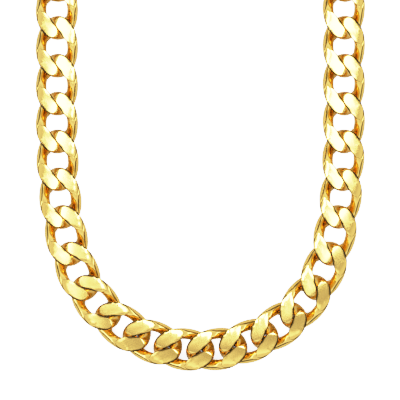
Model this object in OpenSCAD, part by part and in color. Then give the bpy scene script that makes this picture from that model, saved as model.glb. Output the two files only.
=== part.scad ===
// Curb chain necklace, laid flat in a closed loop.
// The chain lies in the XY plane on Z = 0, with the lowest point of its U towards -Y and the clasp towards +Y.
// Lengths are in millimetres.

/* [Link] */
// Width of a link, across the chain
link_width = 15; // [14.5:0.1:17]
// Length of a link, along the chain
link_length = 21.9; // [21:0.1:24]
// Width of the wire in the middle of a link's sides
side_wire = 3.9; // [3:0.1:4]
// Width of the wire at a link's two ends
end_wire = 4.2; // [3.6:0.1:4.5]
// Height of the wire, before grinding
wire_height = 4; // [3.4:0.1:4.1]
// Slope of a link's two ends, by which its wire is twisted out of the flat
end_slope = 45; // [44:1:48]

/* [Grinding] */
// Thickness of the chain, between its ground front and its ground back
chain_thickness = 6.4; // [5.6:0.1:7]
// Width by which the ground faces are spread inwards, where two links cross side by side
spread_width = 0.9; // [0:0.1:1.2]

/* [Chain] */
// Number of links, without the clasp
link_count = 40; // [34:2:44]
// Clearance between two links that are pulled taut
link_play = 0.14; // [0.12:0.01:0.3]

/* [Clasp] */
// Length of the clasp's body
clasp_length = 16; // [14:0.5:20]
// Width of the clasp's body
clasp_width = 15; // [14.4:0.1:17]
// Radius of the clasp body's corners, seen from the front
clasp_corner = 1.2; // [0.5:0.1:2]
// Chamfer along the clasp body's long edges
clasp_chamfer = 0.9; // [0.3:0.1:1.4]
// Distance from the clasp's body to the widest place of the half links at its ends
clasp_neck = 2.6; // [1.5:0.1:3]

/* [Hidden] */
$fn = 32;

// The U, from its lowest point up along one side, one row for each link.
// TURN is the angle to the link before it, as a share of the U's quarter turn. The first row gives half of its own.
// SLACK is how far the step from the link before it is shortened, from 0 when taut to 1 when fully pushed up.
TURN = 0;
SLACK = 1;
U_LINKS = [
    [14, 0.80],
    [13, 0.78],
    [14, 0.66],
    [17, 0.20],
    [16, 0.14],
    [11, 0.03],
    [6, 0],
    [4, 0],
    [2, 0]
];

// Angles of the corners of the wire's section from its highest point, round by the link's inner side
SECTION_CORNERS = [30, 90, 150, 210, 270, 330];
// Half the angle that one side of the section takes, as the angle of its first corner
corner_angle = SECTION_CORNERS[0];
// Even power with which the spread of the ground faces fades along the wire, away from the crossings
spread_fade = 4;

// Number of wire sections around a link
link_stations = 16;
// Number of links on each side that turn the chain from its straight strand to the clasp
top_links = 4;

side_radius = (link_width - side_wire) / 2;
end_radius = (link_length - end_wire) / 2;
half_thickness = chain_thickness / 2;

half_count = link_count / 2;
strand_links = half_count - len(U_LINKS) - top_links;
lower_links = half_count - top_links;
clasp_reach = clasp_length / 2 + clasp_neck;

function total(values, i = 0) = i == len(values) ? 0 : values[i] + total(values, i + 1);

// Angle between every link of one half of the chain and the link before it, with the clasp's as the last
u_turn_sum = total([for (row = U_LINKS) row[TURN]]) - U_LINKS[0][TURN] / 2;
turns = concat(
    [for (row = U_LINKS) row[TURN] * 90 / u_turn_sum],
    [for (i = [1 : 1 : strand_links]) 0],
    [for (i = [0 : top_links]) 90 / (top_links + 1)]
);
// Direction of every link, and of the step to it from the link before it, from the +X axis
function link_angle(i) = i == 0 ? turns[0] / 2 : link_angle(i - 1) + turns[i];
function step_angle(i) = link_angle(i) - turns[i] / 2;

// Longest step between two links that are turned against each other, which shortens as they turn
function taut_step(turn) = link_length - 2 * end_wire - link_play - link_width / 2 * (1 - cos(turn));
// Shortest step, at which the ends of every second link nearly meet
tight_step = link_length / 2 + link_play;
function slack_step(turn, slack) = taut_step(turn) - slack * (taut_step(turn) - tight_step);

// Steps up the U and the straight strand, which give the distance between the two strands
lower_steps = [
    for (i = [0 : lower_links - 1])
        slack_step(turns[i], i < len(U_LINKS) ? U_LINKS[i][SLACK] : 0)
];
strand_x = lower_steps[0] / 2 + total([for (i = [1 : lower_links - 1]) lower_steps[i] * cos(step_angle(i))]);
// Steps of the top arch, which all are as long as it takes to get from the strand to the clasp
arch_step = (strand_x - clasp_reach) / total([for (i = [lower_links : half_count]) -cos(step_angle(i))]);
steps = concat(lower_steps, [for (i = [lower_links : half_count]) arch_step]);

function link_place(i) =
    i == 0
        ? [steps[0] / 2, 0]
        : link_place(i - 1) + steps[i] * [cos(step_angle(i)), sin(step_angle(i))];
clasp_y = link_place(half_count)[1];

// The loop is centred on the origin along Y
loop_low = -link_width / 2;
loop_high = clasp_y + max(clasp_width, link_width) / 2;
loop_middle = (loop_low + loop_high) / 2;

// Centre of a link's wire at angle t around the link, for a link along Y
function wire_centre(t) = [
    side_radius * cos(t),
    end_radius * sin(t),
    side_radius * tan(end_slope) * cos(t) * sin(t)
];
function wire_direction(t) = unit([
    -side_radius * sin(t),
    end_radius * cos(t),
    side_radius * tan(end_slope) * cos(2 * t)
]);
function unit(v) = v / norm(v);
// Direction across the wire, away from the middle of the link
function wire_outward(t) = unit(cross(wire_direction(t), [-tan(end_slope) * sin(t), 0, 1]));
// Direction across the wire, towards the front of the link
function wire_forward(t) = cross(wire_outward(t), wire_direction(t));
// Level direction across the wire, towards the middle of the link
function wire_inward(t) = unit(cross([0, 0, 1], wire_direction(t)));
function half_wire(t) = (side_wire + (end_wire - side_wire) * pow(sin(t), 2)) / 2;

// The wire's section has its corners on an ellipse. Rise of the ellipse's highest point, and that point's angle.
function section_rise(t) = norm([half_wire(t) * wire_outward(t)[2], wire_height / 2 * wire_forward(t)[2]]);
function section_top(t) = atan2(wire_height / 2 * wire_forward(t)[2], half_wire(t) * wire_outward(t)[2]);
// Half the angle round the section that the ground face takes
function ground_angle(t) = acos(min(1, (half_thickness - abs(wire_centre(t)[2])) / section_rise(t)));

// The same angle from above -180 to 180
function signed_angle(angle) = angle > 180 ? angle - 360 : angle <= -180 ? angle + 360 : angle;
// Angle from the ground side to which a corner moves, so that two corners keep to the ground face's edges
function ground_corner(corner, reach) =
    abs(corner) <= corner_angle
        ? corner * reach / corner_angle
        : sign(corner) * (180 - (180 - abs(corner)) * (180 - reach) / (180 - corner_angle));

function wire_point(t, corner) =
    let (centre = wire_centre(t))
    let (back = centre[2] < 0)
    let (from_ground = signed_angle(corner - (back ? 180 : 0)))
    let (reach = max(ground_angle(t), corner_angle))
    let (angle = section_top(t) + (back ? 180 : 0) + ground_corner(from_ground, reach))
    let (across = wire_outward(t) * half_wire(t) * cos(angle))
    let (upright = wire_forward(t) * wire_height / 2 * sin(angle))
    let (inner_edge = from_ground == (back ? -corner_angle : corner_angle))
    let (spread = inner_edge ? spread_width * pow(sin(2 * t), spread_fade) : 0)
    centre + across + upright + wire_inward(t) * spread;

// Ground wire swept over the angles around a link, as a closed ring or as a piece with two end faces
module swept_wire(angles, closed) {
    sides = len(SECTION_CORNERS);
    rings = len(angles);
    last = closed ? rings - 1 : rings - 2;
    points = [for (t = angles) for (corner = SECTION_CORNERS) wire_point(t, corner)];
    walls = [
        for (i = [0 : last])
            for (j = [0 : sides - 1])
                let (next_i = (i + 1) % rings)
                let (next_j = (j + 1) % sides)
                for (triangle = [
                    [i * sides + j, i * sides + next_j, next_i * sides + next_j],
                    [i * sides + j, next_i * sides + next_j, next_i * sides + j]
                ]) triangle
    ];
    start = [for (j = [sides - 1 : -1 : 0]) j];
    end = [for (j = [0 : sides - 1]) (rings - 1) * sides + j];
    polyhedron(points, closed ? walls : concat(walls, [start, end]));
}

module link_body() {
    swept_wire([for (i = [0 : link_stations - 1]) i * 360 / link_stations], true);
}

// Half of a link, whose sides run on past its widest place and into the clasp's body
module link_end() {
    overrun = asin((clasp_neck + side_wire / 2) / end_radius);
    pieces = link_stations / 2 + 2;
    swept_wire([for (i = [0 : pieces]) -overrun + i * (180 + 2 * overrun) / pieces], false);
}

// Puts a piece that lies along Y at a place on the loop, with the loop's back on Z = 0
module on_loop(place, angle) {
    translate([place[0], place[1] - loop_middle, half_thickness])
        rotate([0, 0, angle - 90])
            children();
}

// Links 1 to half_count run up the right side from the bottom of the U, the others up the left side
module chain_link(number) {
    right = number <= half_count;
    i = (right ? number : number - half_count) - 1;
    place = link_place(i);
    color("gold")
        on_loop([right ? place[0] : -place[0], place[1]], right ? link_angle(i) : -link_angle(i))
            link_body();
}

module clasp_body() {
    straight = [clasp_width - 2 * clasp_corner, clasp_length - 2 * clasp_corner];
    intersection() {
        linear_extrude(chain_thickness, center = true) {
            square([clasp_width, straight[1]], center = true);
            square([straight[0], clasp_length], center = true);
            for (x = [-0.5, 0.5])
                for (y = [-0.5, 0.5])
                    translate([x * straight[0], y * straight[1]])
                        circle(clasp_corner);
        }
        rotate([90, 0, 0])
            linear_extrude(clasp_length, center = true)
                clasp_profile();
    }
}

// Section of the clasp's body across the chain, with its chamfered edges
module clasp_profile() {
    x = clasp_width / 2;
    z = half_thickness;
    polygon([
        [x, z - clasp_chamfer],
        [x - clasp_chamfer, z],
        [clasp_chamfer - x, z],
        [-x, z - clasp_chamfer],
        [-x, clasp_chamfer - z],
        [clasp_chamfer - x, -z],
        [x - clasp_chamfer, -z],
        [x, clasp_chamfer - z]
    ]);
}

// A plain closed clasp: a flat body between two half links, which hold the chain's last links
module clasp() {
    color("goldenrod")
        on_loop([0, clasp_y], link_angle(half_count)) {
            clasp_body();
            for (turn = [0, 180])
                rotate([0, 0, turn])
                    translate([0, clasp_reach, 0])
                        link_end();
        }
}

function link_name(number) = str("link_", number < 10 ? "0" : "", number);

for (number = [1 : link_count])
    chain_link(number);
clasp();
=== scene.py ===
"""Curb chain necklace laid flat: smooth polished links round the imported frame, on a pale floor."""
import functools
import math

import bpy
import numpy as np
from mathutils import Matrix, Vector


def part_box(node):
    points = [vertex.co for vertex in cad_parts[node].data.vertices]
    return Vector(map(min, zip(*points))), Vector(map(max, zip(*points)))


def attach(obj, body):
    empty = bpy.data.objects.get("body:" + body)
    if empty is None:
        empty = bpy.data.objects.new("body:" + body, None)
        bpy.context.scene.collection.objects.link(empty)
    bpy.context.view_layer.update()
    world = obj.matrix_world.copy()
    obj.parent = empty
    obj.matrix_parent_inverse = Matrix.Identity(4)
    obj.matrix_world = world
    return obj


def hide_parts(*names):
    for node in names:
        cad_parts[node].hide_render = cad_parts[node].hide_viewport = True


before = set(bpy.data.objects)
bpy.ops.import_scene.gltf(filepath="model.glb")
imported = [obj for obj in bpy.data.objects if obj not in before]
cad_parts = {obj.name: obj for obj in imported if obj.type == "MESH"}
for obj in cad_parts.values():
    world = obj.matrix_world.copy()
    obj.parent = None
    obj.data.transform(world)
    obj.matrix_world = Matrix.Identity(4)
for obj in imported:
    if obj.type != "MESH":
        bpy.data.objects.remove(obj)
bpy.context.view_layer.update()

MM = 0.001

# The link, with the names and values of the part's source, in millimetres and degrees.
LINK_WIDTH = 15.0
LINK_LENGTH = 21.9
SIDE_WIRE = 3.9
END_WIRE = 4.2
WIRE_HEIGHT = 4.0
END_SLOPE = 45.0
# Share by which the two ends slope more than a level twist would, so that the ground faces reach across them
END_TWIST = 0.7
CHAIN_THICKNESS = 6.4
# Width by which a ground face's inner edge is spread, and the even power with which that fades along the wire
SPREAD_WIDTH = 1.2
SPREAD_FADE = 4
CLASP_LENGTH = 16.0
CLASP_WIDTH = 15.0
CLASP_CORNER = 1.2
CLASP_CHAMFER = 0.9
CLASP_NECK = 2.6

SIDE_RADIUS = (LINK_WIDTH - SIDE_WIRE) / 2
END_RADIUS = (LINK_LENGTH - END_WIRE) / 2
HALF_THICKNESS = CHAIN_THICKNESS / 2
SLOPE = math.tan(math.radians(END_SLOPE))

# Radius to which the front and the back faces are crowned across the chain
FRONT_CROWN = 60.0
BACK_CROWN = 400.0
# How much lower the front faces are worn at the link's outer edges
EDGE_DROP = 0.4
# Angle round the section over which the spread of a ground face's inner edge fades below it
SPREAD_BELOW = 1.0
# Angle that a ground face takes on the section from where on its inner edge has its whole spread
FULL_SPAN = 1.4
# Angle that a ground face takes on the section from where on the dark line painted along its edges, painted
# shade for the dark reflection there, is whole
PAINTED_LINE_SPAN = 0.8
# Least angle that a ground face takes on the section to each side, where it doesn't reach the wire
LEAST_REACH = 0.05
# How softly a ground face runs over into the round wire, as a share of the wire's half height:
# crisp round the nose at the link's end, soft where the face runs out along the link's side
NOSE_CREASE = 0.06
SIDE_CREASE = 0.65
# Step between two links below which each face's spread is wider, as their ends are pushed up to each other,
# and how much wider it gets with each millimetre below
LOOSE_STEP = 12.5
SLACK_SPREAD = 0.4
# Amount of cos(t) along the wire from which the crease starts to soften, and over how much more it does
CREASE_START = 0.70
CREASE_RUN = 0.24
# Share of the wire's radius that is ground off, from where on its finish is all ground
GROUND_DEPTH = 0.05
# Mesh density: sections round a link, columns over a ground face and over the round wire between two of them
STATIONS = 144
FACE_COLUMNS = 10
SIDE_COLUMNS = 12
# Angles from a ground face's edge to the two columns beside it, and the most of the span that they take
NEAR_COLUMNS = ((0.05, 0.12), (0.14, 0.26))
# Samples round a section in the search for a ground face's edges, and rounds in the search for its height
SPAN_SAMPLES = 1440
HEIGHT_ROUNDS = 8
# Least rise of a point over the wire's centre that a ground face can cut, and the share that stands for no cut
LEAST_RISE = 1e-6
NO_GROUND = 9.0

# The clasp: rounding of the body's edges, share by which its faces drop to their edges, two grooves across it,
# and the mesh density of its corners, edges, rounded ends, grooves and the flat between the grooves
CLASP_FILLET = 0.35
CLASP_CROWN = 0.03
CLASP_GROOVE = 5.2
GROOVE_WIDTH = 0.8
GROOVE_DEPTH = 0.3
CORNER_STEPS = 6
EDGE_STEPS = 8
BEND_STEPS = 9
GROOVE_STEPS = 9
FLAT_STEPS = 8
# How far the half links' wires run into the body
CLASP_EMBED = 0.8


def unit(v):
    return v / np.linalg.norm(v, axis=-1, keepdims=True)


def smooth_min(a, b, k):
    h = np.maximum(k - np.abs(a - b), 0.0) / k
    return np.minimum(a, b) - h * h * k / 4


def wire(t):
    """Centre, three directions (outward, forward, inward) and half width of the wire at the angles t."""
    cos, sin = np.cos(t), np.sin(t)
    zero = np.zeros_like(t)
    twice_cos, twice_sin = np.cos(2 * t), np.sin(2 * t)
    twist = 1 + END_TWIST * twice_cos**2 * sin**2
    twist_change = END_TWIST * twice_cos * twice_sin * (twice_cos - 4 * sin**2)
    rise = SIDE_RADIUS * SLOPE * (twice_cos * twist + twice_sin / 2 * twist_change)
    centre = np.stack([SIDE_RADIUS * cos, END_RADIUS * sin, SIDE_RADIUS * SLOPE * cos * sin * twist], -1)
    way = unit(np.stack([-SIDE_RADIUS * sin, END_RADIUS * cos, rise], -1))
    outward = unit(np.cross(way, np.stack([-SLOPE * sin * twist, zero, zero + 1], -1)))
    forward = np.cross(outward, way)
    inward = unit(np.cross([0, 0, 1], way))
    half_width = (SIDE_WIRE + (END_WIRE - SIDE_WIRE) * sin**2) / 2
    return centre, outward, forward, inward, half_width


def face_height(x, front):
    """Height of a ground face above the link's middle plane, at x across the link."""
    worn = EDGE_DROP * (x / (LINK_WIDTH / 2))**6 if front else 0
    return HALF_THICKNESS - x * x / (2 * (FRONT_CROWN if front else BACK_CROWN)) - worn


def wire_offset(t, angle):
    """Offset from the wire's centre of the points at an angle around its section."""
    _, outward, forward, _, half_width = wire(t)
    cos, sin = np.cos(angle), np.sin(angle)
    return (cos * half_width)[..., None] * outward + (sin * WIRE_HEIGHT / 2)[..., None] * forward


def ground_share(centre, offset, front):
    """Share of the offsets that a ground face leaves, above 1 where it doesn't reach the wire."""
    side = 1 if front else -1
    rise = offset[..., 2] * side
    share = np.ones_like(rise)
    for _ in range(HEIGHT_ROUNDS):
        limit = face_height(centre[..., 0] + offset[..., 0] * np.minimum(share, 1), front)
        cut = (limit - centre[..., 2] * side) / np.maximum(rise, LEAST_RISE)
        share = np.where(rise > LEAST_RISE, cut, NO_GROUND)
    return share


def face_span(t, front):
    """Middle angle of a ground face on the section at t, and how far it reaches to each side."""
    angles = np.linspace(0, 2 * math.pi, SPAN_SAMPLES, endpoint=False)
    ts = np.full_like(angles, t)
    centre = wire(ts)[0]
    point = centre + wire_offset(ts, angles)
    over = point[:, 2] * (1 if front else -1) - face_height(point[:, 0], front)
    top = int(np.argmax(over))
    step = angles[1]
    reach = []
    for way in (-1, 1):
        i = 0
        while over[top] > 0 and over[(top + way * (i + 1)) % len(angles)] > 0:
            i += 1
        inside, beyond = over[(top + way * i) % len(angles)], over[(top + way * (i + 1)) % len(angles)]
        part = inside / (inside - beyond) if over[top] > 0 else 0
        reach.append(max((i + part) * step, LEAST_REACH))
    return angles[top], reach[0], reach[1]


def columns(low, high, count):
    """Angles from low up to high without it, closer together at both ends."""
    span = high - low
    near, next_ = (min(angle, span * share) for angle, share in NEAR_COLUMNS)
    inner = np.linspace(low + next_, high - next_, count - 3)
    return np.concatenate([[low, low + near], inner, [high - near]])


@functools.lru_cache(maxsize=None)
def link_section(t):
    """Points of one section of the wire, the way that the spread moves each, its finish (1 where ground,
    0 where round) and its share of the dark shade painted along the ground faces' edges, for the dark
    reflection there."""
    front, front_low, front_high = face_span(t, True)
    back, back_low, back_high = face_span(t, False)
    back = front + (back - front) % (2 * math.pi)
    rest = front + 2 * math.pi
    angle = np.concatenate([
        columns(front - front_low, front + front_high, FACE_COLUMNS),
        columns(front + front_high, back - back_low, SIDE_COLUMNS),
        columns(back - back_low, back + back_high, FACE_COLUMNS),
        columns(back + back_high, rest - front_low, SIDE_COLUMNS),
    ])
    ts = np.full_like(angle, t)
    centre, _, _, inward, _ = wire(ts)
    offset = wire_offset(ts, angle)
    share = np.ones_like(angle)
    ground = np.zeros_like(angle)
    towards_side = min(max((abs(math.cos(t)) - CREASE_START) / CREASE_RUN, 0), 1)
    crease = NOSE_CREASE + (SIDE_CREASE - NOSE_CREASE) * towards_side**2 * (3 - 2 * towards_side)
    for is_front in (True, False):
        left = ground_share(centre, offset, is_front)
        share = smooth_min(share, left, crease)
        ground = np.maximum(ground, np.clip((1 - left) / GROUND_DEPTH, 0, 1))
    # the ground face's inner edge, spread towards the middle of the link where two links cross side by side
    if math.sin(2 * t) > 0:
        span = front_low + front_high
        across = (angle - front + front_low) / span
        below = (angle - front - front_high) / SPREAD_BELOW
    else:
        span = back_low + back_high
        across = (back + back_high - angle) / span
        below = (back - back_low - angle) / SPREAD_BELOW
    weight = np.where(below < 0, np.clip(across, 0, 1), np.clip(1 - below, 0, 1)**2)
    present = min(span / FULL_SPAN, 1)
    weight = weight * present * present * (3 - 2 * present)
    spread = (1 - math.cos(2 * t)**SPREAD_FADE) * weight
    # painted shade: a dark line along the ground faces' edges, in the creases and where links touch, standing
    # for a dark reflection
    painted_shade_line = np.zeros_like(angle)
    for first, span in ((0, front_low + front_high), (FACE_COLUMNS + SIDE_COLUMNS, back_low + back_high)):
        for edge in (first, first + FACE_COLUMNS):
            painted_shade_line[[edge - 1, edge, edge + 1]] = min(span / PAINTED_LINE_SPAN, 1)
    return centre + offset * share[:, None], inward * spread[:, None], ground, painted_shade_line


def swept_mesh(name, ts, closed, spread_widths=(SPREAD_WIDTH, SPREAD_WIDTH)):
    """Mesh of the wire swept over the angles ts around a link, in metres, with its finish and the dark shade
    painted along its faces' edges.
    """
    sections = [link_section(float(t)) for t in ts]
    rings, sides = len(ts), len(sections[0][0])
    widths = [spread_widths[0 if math.sin(t) < 0 else 1] for t in ts]
    points = np.concatenate([plain + way * width for (plain, way, _, _), width in zip(sections, widths)]) * MM
    faces = []
    for i in range(rings if closed else rings - 1):
        for j in range(sides):
            a, b = i * sides, (i + 1) % rings * sides
            k = (j + 1) % sides
            faces.append((a + j, b + j, b + k, a + k))
    if not closed:
        faces.append(tuple(range(sides)))
        faces.append(tuple((rings - 1) * sides + j for j in range(sides))[::-1])
    mesh = bpy.data.meshes.new(name)
    mesh.from_pydata(points.tolist(), [], faces)
    mesh.polygons.foreach_set("use_smooth", [True] * len(faces))
    # the finish, and the painted shade along the ground faces' edges, as point attributes
    for i, attribute in ((2, "ground"), (3, "painted_shade_line")):
        values = np.concatenate([section[i] for section in sections])
        mesh.attributes.new(attribute, "FLOAT", "POINT").data.foreach_set("value", values)
    mesh.validate()
    mesh.update()
    return mesh


def spread_angle(node):
    """Angle from X, in radians, at which a link's points spread the most, seen from the front."""
    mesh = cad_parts[node].data
    points = np.empty(len(mesh.vertices) * 3)
    mesh.vertices.foreach_get("co", points)
    points = points.reshape(-1, 3)[:, :2]
    x, y = (points - (points.min(0) + points.max(0)) / 2).T
    return 0.5 * math.atan2(2 * (x * y).sum(), (x * x).sum() - (y * y).sum())


def middle(node):
    """Middle of a node's box."""
    low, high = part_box(node)
    return [(a + b) / 2 for a, b in zip(low, high)]


# ---- Materials
def node_material(name):
    m = bpy.data.materials.new(name)
    m.use_nodes = True
    tree = m.node_tree
    bsdf = tree.nodes["Principled BSDF"]
    return m, tree, bsdf


# Share of the gold that is polished metal. The rest is a fine haze, which lights the hollows between the links.
METAL_SHARE = 0.98
# Radiance that the camera sees as white, as the floor's
WHITE = 2.8


def gold():
    m, tree, bsdf = node_material("polished_gold")
    nodes, link = tree.nodes, tree.links.new
    bsdf.inputs["Metallic"].default_value = METAL_SHARE
    where = nodes.new("ShaderNodeTexCoord")
    ground = nodes.new("ShaderNodeAttribute"); ground.attribute_name = "ground"
    # colour: rich gold with slight cloudy variation
    cloud = nodes.new("ShaderNodeTexNoise")
    cloud.inputs["Scale"].default_value = 260
    cloud.inputs["Detail"].default_value = 3
    link(where.outputs["Object"], cloud.inputs["Vector"])
    tint = nodes.new("ShaderNodeValToRGB")
    tint.color_ramp.elements[0].color = (0.96, 0.625, 0.145, 1)
    tint.color_ramp.elements[1].color = (1.0, 0.675, 0.185, 1)
    link(cloud.outputs["Fac"], tint.inputs["Fac"])
    # painted shade: a dark line painted along the edges of the ground faces, for the dark reflection in their
    # creases and where links touch; it stays dark in any light
    painted_shade_line = nodes.new("ShaderNodeAttribute"); painted_shade_line.attribute_name = "painted_shade_line"
    edge = nodes.new("ShaderNodeMix")
    edge.data_type = "RGBA"
    edge.inputs["B"].default_value = (0.03, 0.014, 0.003, 1)
    link(painted_shade_line.outputs["Fac"], edge.inputs["Factor"])
    link(tint.outputs["Color"], edge.inputs["A"])
    link(edge.outputs["Result"], bsdf.inputs["Base Color"])
    # roughness: polished wire, satin ground faces
    rough = nodes.new("ShaderNodeMapRange")
    rough.inputs["To Min"].default_value = 0.07
    rough.inputs["To Max"].default_value = 0.17
    link(ground.outputs["Fac"], rough.inputs["Value"])
    link(rough.outputs["Result"], bsdf.inputs["Roughness"])
    # bump: fine grain of the ground faces
    grain = nodes.new("ShaderNodeTexNoise")
    grain.inputs["Scale"].default_value = 3200
    grain.inputs["Detail"].default_value = 2
    link(where.outputs["Object"], grain.inputs["Vector"])
    bump = nodes.new("ShaderNodeBump")
    bump.inputs["Strength"].default_value = 0.006
    bump.inputs["Distance"].default_value = 0.00005
    link(grain.outputs["Fac"], bump.inputs["Height"])
    link(bump.outputs["Normal"], bsdf.inputs["Normal"])
    return m


def floor_material():
    m, tree, bsdf = node_material("pale_floor")
    bsdf.inputs["Base Color"].default_value = (0.85, 0.85, 0.85, 1)
    bsdf.inputs["Roughness"].default_value = 0.9
    bsdf.inputs["Emission Color"].default_value = (1, 1, 1, 1)
    path = tree.nodes.new("ShaderNodeLightPath")
    glow = tree.nodes.new("ShaderNodeMapRange")
    glow.inputs["To Min"].default_value = 0.0
    glow.inputs["To Max"].default_value = WHITE
    # painted shadow: the floor's glow for the camera is dimmed by ambient occlusion, so narrow gaps between the
    # links show dark, wide ones white
    open_ = tree.nodes.new("ShaderNodeAmbientOcclusion")
    open_.inputs["Distance"].default_value = 0.004
    painted_gap_shade = tree.nodes.new("ShaderNodeMapRange")
    painted_gap_shade.inputs["From Min"].default_value = 0.22
    painted_gap_shade.inputs["From Max"].default_value = 0.5
    seen = tree.nodes.new("ShaderNodeMath")
    seen.operation = "MULTIPLY"
    tree.links.new(open_.outputs["AO"], painted_gap_shade.inputs["Value"])
    tree.links.new(painted_gap_shade.outputs["Result"], seen.inputs[0])
    tree.links.new(path.outputs["Is Camera Ray"], seen.inputs[1])
    tree.links.new(seen.outputs["Value"], glow.inputs["Value"])
    tree.links.new(glow.outputs["Result"], bsdf.inputs["Emission Strength"])
    return m


# ---- Links
gold_metal = gold()
LINKS = sorted(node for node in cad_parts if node.startswith("link_"))
around = np.linspace(0, 2 * math.pi, STATIONS, endpoint=False)
link_meshes = {}


def spread_towards(node, end):
    """Width of the spread at one end of a link, wider where its neighbour is pushed up to it."""
    here = np.array(middle(node)) / MM
    angle = spread_angle(node)
    way = np.array([math.cos(angle), math.sin(angle), 0]) * end
    steps = [np.array(middle(other)) / MM - here for other in LINKS if other != node]
    near = min(np.linalg.norm(step) for step in steps if step @ way > 0)
    return SPREAD_WIDTH + round(max(LOOSE_STEP - near, 0) * SLACK_SPREAD, 1)


for node in LINKS:
    widths = (spread_towards(node, -1), spread_towards(node, 1))
    if widths not in link_meshes:
        link_meshes[widths] = swept_mesh("curb_link_%d" % len(link_meshes), around, True, widths)
        link_meshes[widths].materials.append(gold_metal)
    piece = bpy.data.objects.new("curb_" + node, link_meshes[widths])
    bpy.context.collection.objects.link(piece)
    piece.location = middle(node)
    piece.rotation_euler = (0, 0, spread_angle(node) - math.pi / 2)
    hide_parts(node)
    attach(piece, "root")


# ---- Clasp: a flat body with two half links
def rounded(corners, radius):
    """Outline of a convex counterclockwise polygon with rounded corners and divided edges."""
    points = []
    corners = [np.array(corner) for corner in corners]
    for before, corner, after in zip(corners[-1:] + corners[:-1], corners, corners[1:] + corners[:1]):
        come, go = unit(corner - before), unit(after - corner)
        out_a, out_b = np.array([come[1], -come[0]]), np.array([go[1], -go[0]])
        centre = corner - radius * (out_a + out_b) / (1 + out_a @ out_b)
        for share in np.linspace(0, 1, CORNER_STEPS):
            points.append(centre + radius * unit(out_a * (1 - share) + out_b * share))
    outline = []
    for i, point in enumerate(points):
        following = points[(i + 1) % len(points)]
        parts = EDGE_STEPS if (i + 1) % CORNER_STEPS == 0 else 1
        outline += [point + (following - point) * k / parts for k in range(parts)]
    return np.array(outline)


def quarter_inset(distance, radius):
    """How far a rounded edge of this radius is set back at a distance before its end."""
    beyond = max(radius - distance, 0)
    return radius - math.sqrt(radius**2 - beyond**2)


def clasp_body_mesh():
    half_length = CLASP_LENGTH / 2
    bends = np.linspace(0, math.pi / 2, BEND_STEPS)
    groove = CLASP_GROOVE + GROOVE_WIDTH / 2 * np.linspace(-1, 1, GROOVE_STEPS)
    half = np.unique(np.concatenate([
        np.linspace(0, CLASP_GROOVE - GROOVE_WIDTH, FLAT_STEPS), groove,
        half_length - CLASP_CORNER * (1 - np.sin(bends)), half_length - CLASP_FILLET * (1 - np.sin(bends)),
    ]).round(6))
    places = np.concatenate([-half[:0:-1], half])
    rings = []
    for place in places:
        to_end = max(half_length - abs(place), 0)
        off = abs(abs(place) - CLASP_GROOVE) / (GROOVE_WIDTH / 2)
        cut = GROOVE_DEPTH * (1 + math.cos(math.pi * off)) / 2 if off < 1 else 0
        x = CLASP_WIDTH / 2 - quarter_inset(to_end, CLASP_CORNER) - cut
        z = HALF_THICKNESS - quarter_inset(to_end, CLASP_FILLET) - cut
        c = CLASP_CHAMFER
        right_side = [(x, c - z), (x, z - c), (x - c, z)]
        left_side = [(c - x, z), (-x, z - c), (-x, c - z)]
        section = rounded(right_side + left_side + [(c - x, -z), (x - c, -z)], CLASP_FILLET)
        height = section[:, 1] * (1 - CLASP_CROWN * (section[:, 0] / x)**2)
        rings.append(np.stack([section[:, 0], np.full(len(section), place), height], -1))
    count, sides = len(rings), len(rings[0])
    faces = []
    for i in range(count - 1):
        for j in range(sides):
            k = (j + 1) % sides
            faces.append((i * sides + j, i * sides + k, (i + 1) * sides + k, (i + 1) * sides + j)[::-1])
    faces.append(tuple(range(sides)))
    faces.append(tuple((count - 1) * sides + j for j in range(sides))[::-1])
    mesh = bpy.data.meshes.new("clasp_body")
    mesh.from_pydata((np.concatenate(rings) * MM).tolist(), [], faces)
    mesh.polygons.foreach_set("use_smooth", [True] * len(faces))
    mesh.attributes.new("ground", "FLOAT", "POINT").data.foreach_set("value", np.ones(count * sides))
    mesh.validate()
    mesh.update()
    return mesh


clasp_x, clasp_y, clasp_z = middle("clasp")
reach = CLASP_LENGTH / 2 + CLASP_NECK
overrun = math.asin((CLASP_NECK + CLASP_EMBED) / END_RADIUS)
# a half link with its runs into the body has five eighths of a whole link's sections
half_link = swept_mesh("clasp_half_link", np.linspace(-overrun, math.pi + overrun, STATIONS * 5 // 8), False)
for name, mesh, x, turn in (
    ("clasp_body", clasp_body_mesh(), 0, 90),
    ("clasp_left_half_link", half_link, -reach, 90),
    ("clasp_right_half_link", half_link, reach, -90),
):
    if not mesh.materials:
        mesh.materials.append(gold_metal)
    piece = bpy.data.objects.new(name, mesh)
    bpy.context.collection.objects.link(piece)
    piece.location = (clasp_x + x * MM, clasp_y, clasp_z)
    piece.rotation_euler = (0, 0, math.radians(turn))
    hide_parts("clasp")
    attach(piece, "root")

# ---- Floor, camera, light
# Distance from the middle to the floor's sides, and gap between the floor and the chain, in metres
FLOOR_REACH = 3.0
FLOOR_DROP = 0.0002
floor_corners = [(x * FLOOR_REACH, y * FLOOR_REACH, 0) for x, y in ((-1, -1), (1, -1), (1, 1), (-1, 1))]
floor_mesh = bpy.data.meshes.new("floor")
floor_mesh.from_pydata(floor_corners, [], [(0, 1, 2, 3)])
floor = bpy.data.objects.new("floor", floor_mesh)
bpy.context.collection.objects.link(floor)
floor.location.z = -FLOOR_DROP
floor.data.materials.append(floor_material())

# Width of what the photo shows, distance of the camera from it, and the place at the photo's middle
PHOTO_WIDTH = 0.1408
DISTANCE = 0.9
AIM_X, AIM_Y, AIM_Z = -0.00014, -0.0541, 0.0048
SENSOR_WIDTH = 36
camera = bpy.data.objects.new("camera", bpy.data.cameras.new("camera"))
bpy.context.collection.objects.link(camera)
camera.location = (AIM_X, AIM_Y, DISTANCE + AIM_Z)
camera.data.sensor_width = SENSOR_WIDTH
camera.data.lens = SENSOR_WIDTH * DISTANCE / PHOTO_WIDTH
bpy.context.scene.camera = camera


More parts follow.
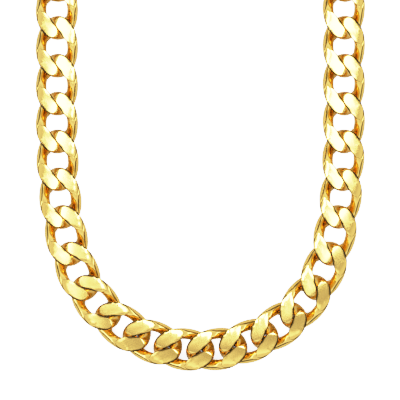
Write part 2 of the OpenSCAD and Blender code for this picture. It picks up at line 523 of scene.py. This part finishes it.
def softbox(name, place, aim, width, height, radiance):
    """Rectangular light that the camera doesn't see."""
    data = bpy.data.lights.new(name, "AREA")
    data.shape = "RECTANGLE"
    data.size, data.size_y = width, height
    data.energy = radiance * math.pi * width * height
    obj = bpy.data.objects.new(name, data)
    bpy.context.collection.objects.link(obj)
    obj.location = place
    obj.rotation_euler = (Vector(aim) - Vector(place)).to_track_quat("-Z", "Y").to_euler()
    obj.visible_camera = False
    return obj


# Overhead lights that only the metal reflects: name, left and right edge, near and far edge, radiance
STRIP_HEIGHT = 0.3
OVERHEAD = (
    ("left_strip", -0.092, -0.020, -0.030, 0.200, 9),
    ("right_strip", 0.018, 0.102, -0.030, 0.200, 9),
    ("left_strip_end", -0.098, -0.042, -0.078, -0.030, 9),
    ("right_strip_end", 0.036, 0.090, -0.078, -0.030, 9),
    ("left_corner", -0.150, -0.085, -0.140, -0.078, 2.5),
    ("middle", -0.042, 0.036, -0.090, -0.045, 0.8),
    ("near", -0.090, 0.090, -0.240, -0.165, 1.0),
)
for name, left, right, near, far, radiance in OVERHEAD:
    x, y, width, length = (left + right) / 2, (near + far) / 2, right - left, far - near
    box = softbox(name, (x, y, STRIP_HEIGHT), (x, y, 0), width, length, radiance)
    box.visible_diffuse = False
# Boxes at both sides of the chain: distance to the side, place along it, height, size and radiance
SIDE_X, SIDE_Y, SIDE_Z = 0.8, -0.05, 0.36
SIDE_WIDTH, SIDE_LENGTH, SIDE_RADIANCE = 0.7, 0.22, 2.2
for name, x in (("left_box", -SIDE_X), ("right_box", SIDE_X)):
    softbox(name, (x, SIDE_Y, SIDE_Z), (0, SIDE_Y, 0), SIDE_WIDTH, SIDE_LENGTH, SIDE_RADIANCE)

world = bpy.data.worlds.new("studio")
bpy.context.scene.world = world
world.use_nodes = True
wn, wl = world.node_tree.nodes, world.node_tree.links.new
back = wn["Background"]
coord = wn.new("ShaderNodeTexCoord")
split = wn.new("ShaderNodeSeparateXYZ")
wl(coord.outputs["Generated"], split.inputs["Vector"])
ramp = wn.new("ShaderNodeValToRGB")
# grey of the studio against the sine of the elevation
SKY = ((0.0, 0.08), (0.25, 0.08), (0.31, 0.4), (0.36, 1.15), (0.50, 1.15), (0.62, 0.92),
       (0.90, 0.8), (0.96, 0.52), (0.985, 0.4))
while len(ramp.color_ramp.elements) > 1:
    ramp.color_ramp.elements.remove(ramp.color_ramp.elements[0])
for i, (position, grey) in enumerate(SKY):
    e = ramp.color_ramp.elements[0] if i == 0 else ramp.color_ramp.elements.new(position)
    e.position = position
    e.color = (grey, grey, grey, 1)
wl(split.outputs["Z"], ramp.inputs["Fac"])
wl(ramp.outputs["Color"], back.inputs["Color"])
back.inputs["Strength"].default_value = 1.0

scene = bpy.context.scene
scene.view_settings.view_transform = "Standard"
scene.view_settings.look = "None"
# soft shoulder, as a camera's: radiance and the brightness that it is shown with, for red, green and blue alike
SHOULDER = ((0.5, 0.56), (0.68, 0.71), (0.83, 0.80), (0.95, 0.85),
            (1.2, 0.895), (1.5, 0.915), (1.8, 0.935), (2.3, 0.97))
scene.view_settings.use_curve_mapping = True
tone = scene.view_settings.curve_mapping
tone.white_level = (WHITE, WHITE, WHITE)
curve = tone.curves[3]
for radiance, shown in SHOULDER:
    curve.points.new(radiance / WHITE, shown)
for point in curve.points:
    point.handle_type = "VECTOR"
tone.update()
